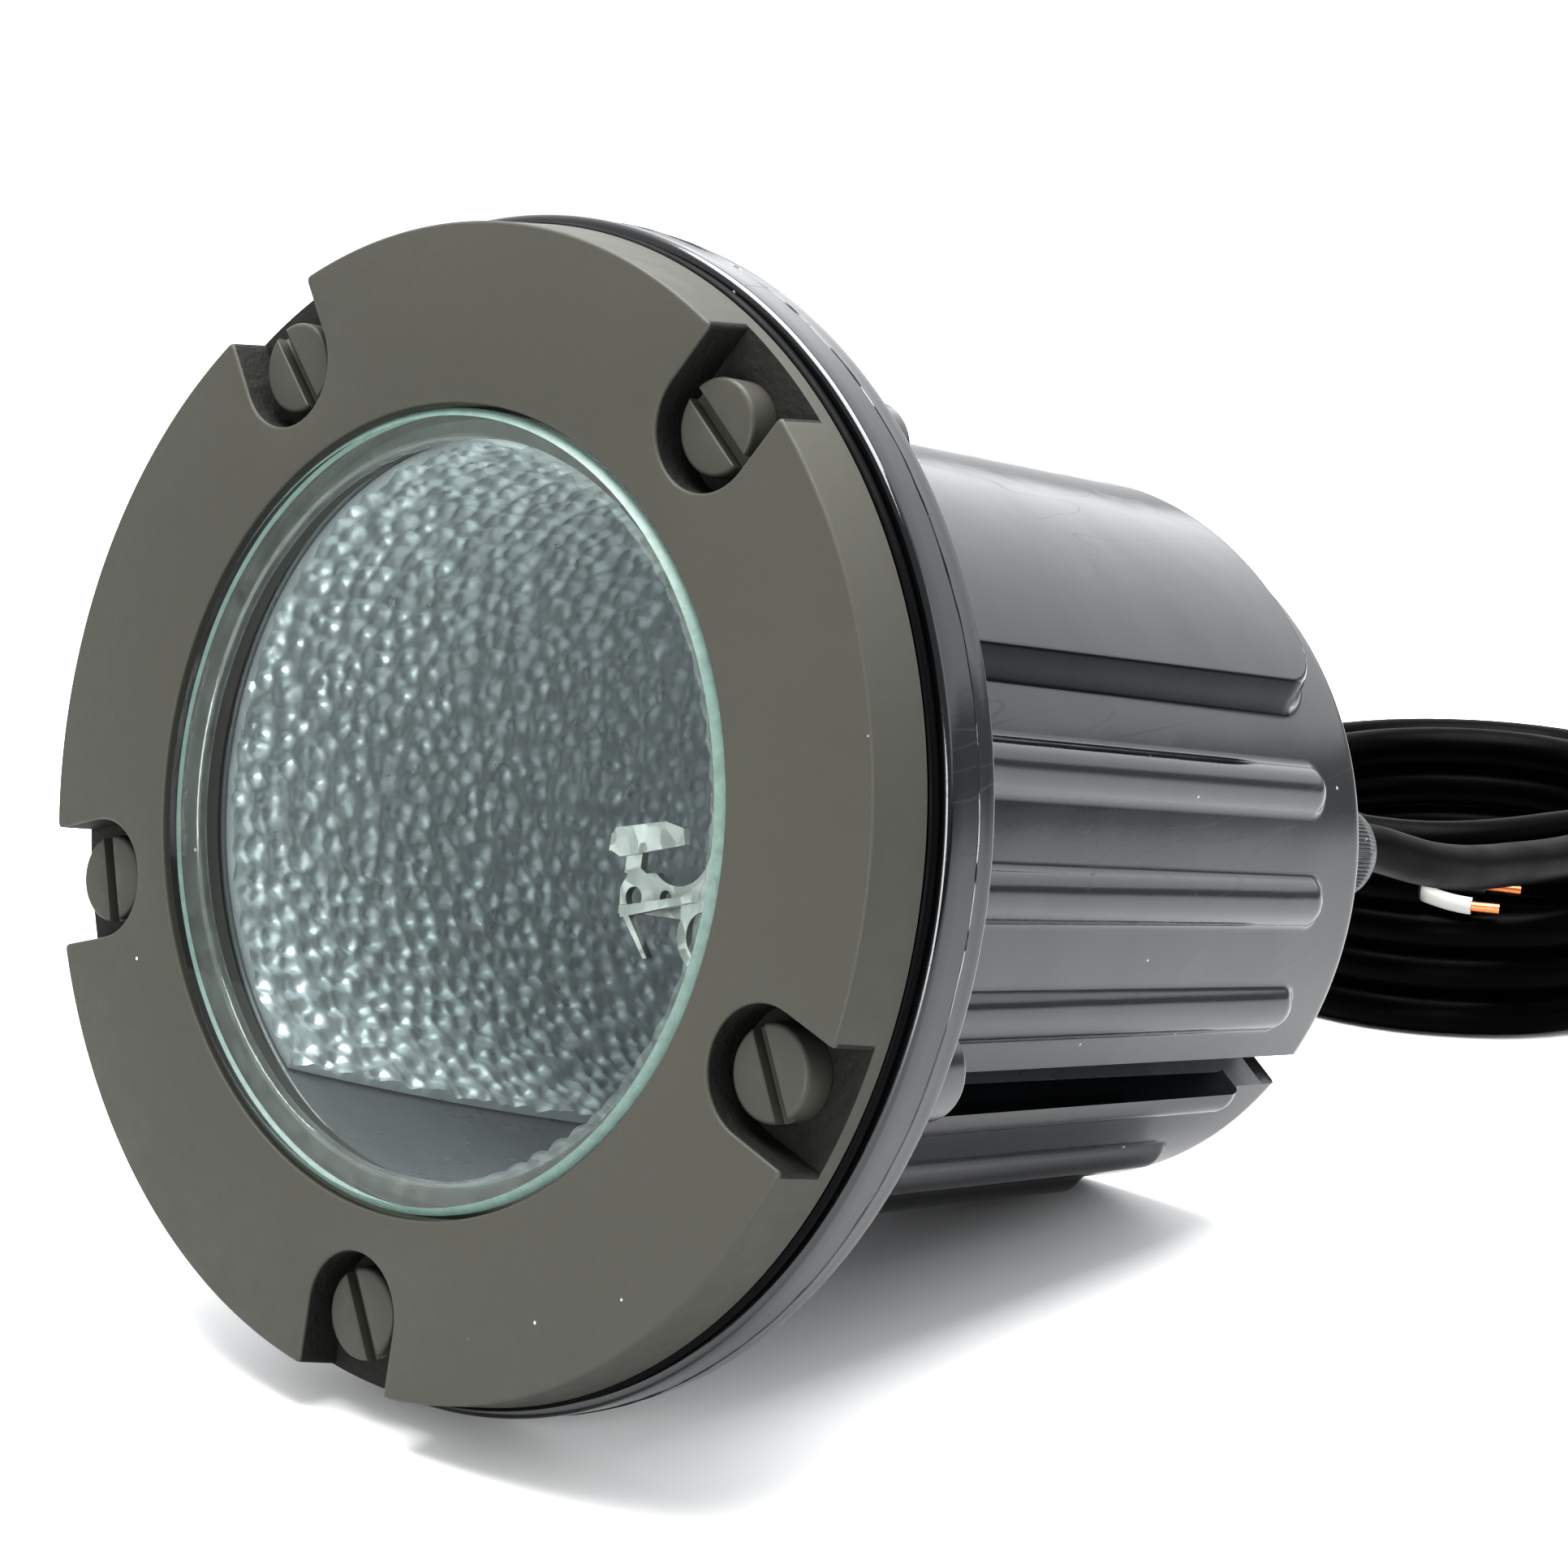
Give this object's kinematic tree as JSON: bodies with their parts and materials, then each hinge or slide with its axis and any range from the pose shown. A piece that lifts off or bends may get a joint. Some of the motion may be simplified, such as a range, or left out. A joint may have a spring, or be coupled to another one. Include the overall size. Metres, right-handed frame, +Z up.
{
  "type": "underwater pond light",
  "caption": "Round underwater pond light: cast face ring with slotted screws, glass, hammered reflector, ribbed plastic housing, cable gland and coiled lead.",
  "frame": {"origin": "on the surface that the light lies on, under the middle of the light without its lead", "axes": "+Z up, +X to the right seen from the front, +Y from the front face towards the cable gland; the light's own axis is tilted up 12.82 degrees at the front"},
  "size_m": [0.1344, 0.2761, 0.1332],
  "materials": {
    "painted_casting": "fine matte powder coat on a sand-cast ring",
    "painted_screw": "matte powder coat",
    "housing_plastic": "satin moulded plastic",
    "rubber": "matte",
    "lens_glass": "clear, ground green edge",
    "silicone": "clear silicone",
    "hammered_aluminium": "stucco-embossed, bright",
    "galvanised_steel": "spangled zinc",
    "plated_steel": "zinc plated",
    "ceramic": "unglazed",
    "brass": "turned",
    "black_insulation": "satin",
    "white_insulation": "satin",
    "connector_plastic": "translucent nylon",
    "cable_jacket": "satin jacket",
    "gland_plastic": "moulded nylon",
    "lamp_glass": "clear quartz",
    "tungsten": "bright wire"
  },
  "bodies": {
    "housing_assembly": {"housing": "housing_plastic", "threaded_inserts": "brass", "flange_gasket": "rubber", "reflector": "hammered_aluminium", "reflector_screws": "plated_steel", "lamp_bracket": "galvanised_steel", "bracket_screws": "plated_steel", "lamp_socket": "ceramic", "socket_contacts": "brass", "socket_lead_black": "black_insulation", "socket_lead_white": "white_insulation", "wire_connectors": "connector_plastic", "inner_cable": "cable_jacket", "gland_body": "gland_plastic", "gland_washer": "rubber", "gland_seal": "rubber", "gland_locknut": "gland_plastic", "screw_seals": "rubber", "cable": "cable_jacket", "cable_coil": "cable_jacket", "core_black": "black_insulation", "core_white": "white_insulation"},
    "face": {"face_ring": "painted_casting", "lens_glass": "lens_glass", "lens_seal": "silicone"},
    "gland_nut": {"gland_nut": "gland_plastic"},
    "lamp": {"lamp_envelope": "lamp_glass", "lamp_filament": "tungsten", "lamp_pins": "plated_steel"},
    "screw_1": {"screw_1": "painted_screw"},
    "screw_2": {"screw_2": "painted_screw"},
    "screw_3": {"screw_3": "painted_screw"},
    "screw_4": {"screw_4": "painted_screw"},
    "screw_5": {"screw_5": "painted_screw"}
  },
  "joints": [
    {"name": "face_lift", "type": "slide", "parent": "housing_assembly", "child": "face", "axis": [0, -0.9751, 0.2219], "range_m": [0, 0.1]},
    {"name": "lamp_pull", "type": "slide", "parent": "housing_assembly", "child": "lamp", "axis": [0, -0.9751, 0.2219], "range_m": [0, 0.0075]},
    {"name": "gland_nut_turn", "type": "hinge", "parent": "housing_assembly", "child": "gland_nut", "pos_m": [0.031, 0.06746, 0.04503], "axis": [0, 0.9751, -0.2219], "continuous": true},
    {"name": "screw_1_turn", "type": "hinge", "parent": "face", "child": "screw_1", "pos_m": [0.03356, -0.04717, 0.11367], "axis": [0, -0.9751, 0.2219], "continuous": true},
    {"name": "screw_2_turn", "type": "hinge", "parent": "face", "child": "screw_2", "pos_m": [-0.03356, -0.04717, 0.11367], "axis": [0, -0.9751, 0.2219], "continuous": true},
    {"name": "screw_3_turn", "type": "hinge", "parent": "face", "child": "screw_3", "pos_m": [-0.05431, -0.06134, 0.05143], "axis": [0, -0.9751, 0.2219], "continuous": true},
    {"name": "screw_4_turn", "type": "hinge", "parent": "face", "child": "screw_4", "pos_m": [0, -0.07009, 0.01295], "axis": [0, -0.9751, 0.2219], "continuous": true},
    {"name": "screw_5_turn", "type": "hinge", "parent": "face", "child": "screw_5", "pos_m": [0.05431, -0.06134, 0.05143], "axis": [0, -0.9751, 0.2219], "continuous": true}
  ]
}
